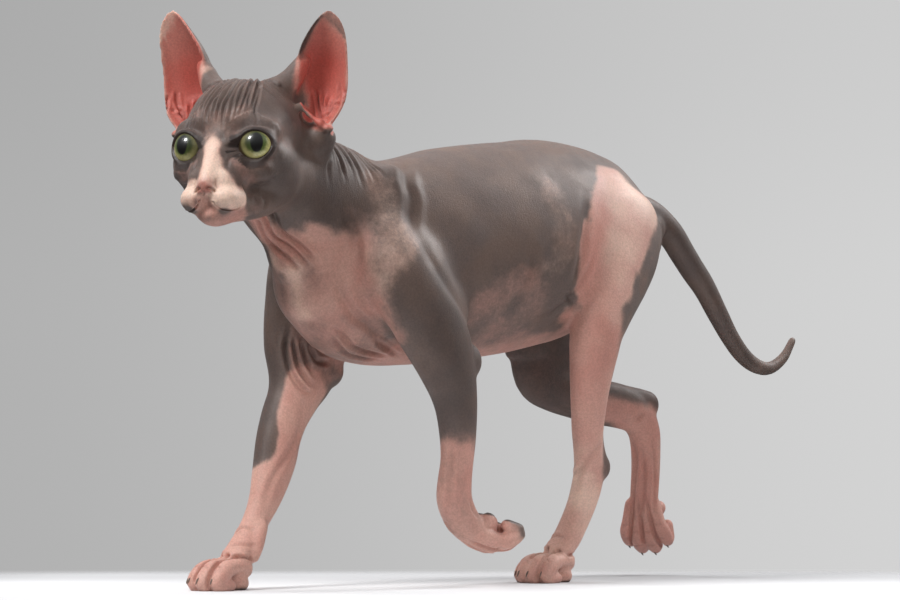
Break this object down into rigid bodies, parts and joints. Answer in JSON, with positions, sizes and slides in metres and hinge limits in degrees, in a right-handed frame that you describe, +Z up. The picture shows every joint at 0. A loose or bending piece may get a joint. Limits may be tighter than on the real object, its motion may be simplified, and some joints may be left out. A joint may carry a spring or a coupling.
{
  "type": "sphynx cat, still life-size model",
  "caption": "Hairless sphynx cat in a walking pose, with large cupped ears, lids, toes and a curled tail, as a still life-size model.",
  "frame": {"origin": "middle of the cat's outline at floor level, under the belly", "axes": "-Y is the way the cat faces, +X its left side, +Z up; the length from nose to tail runs along Y"},
  "size_m": [0.1108, 0.4834, 0.3114],
  "materials": {
    "skin": "soft bare skin, grey with a faint down",
    "ear_skin": "thin bare skin, red-pink inside and grey behind",
    "pink_skin": "bare pink skin with soft creases",
    "tail_skin": "dark grey bare skin",
    "eye": "wet green iris with a dark upright pupil"
  },
  "bodies": {
    "root": {"head": "skin", "ear_left": "ear_skin", "ear_right": "ear_skin", "eye_left": "eye", "eye_right": "eye", "neck": "skin", "chest": "skin", "belly": "skin", "tail_root": "tail_skin", "tail_middle": "tail_skin", "tail_tip": "tail_skin", "foreleg_left_upper": "skin", "foreleg_left_lower": "skin", "forepaw_left": "pink_skin", "foreleg_right_upper": "skin", "foreleg_right_lower": "pink_skin", "forepaw_right": "pink_skin", "hindleg_left_upper": "pink_skin", "hindleg_left_lower": "pink_skin", "hindpaw_left": "pink_skin", "hindleg_right_upper": "pink_skin", "hindleg_right_lower": "pink_skin", "hindpaw_right": "pink_skin"}
  },
  "joints": []
}
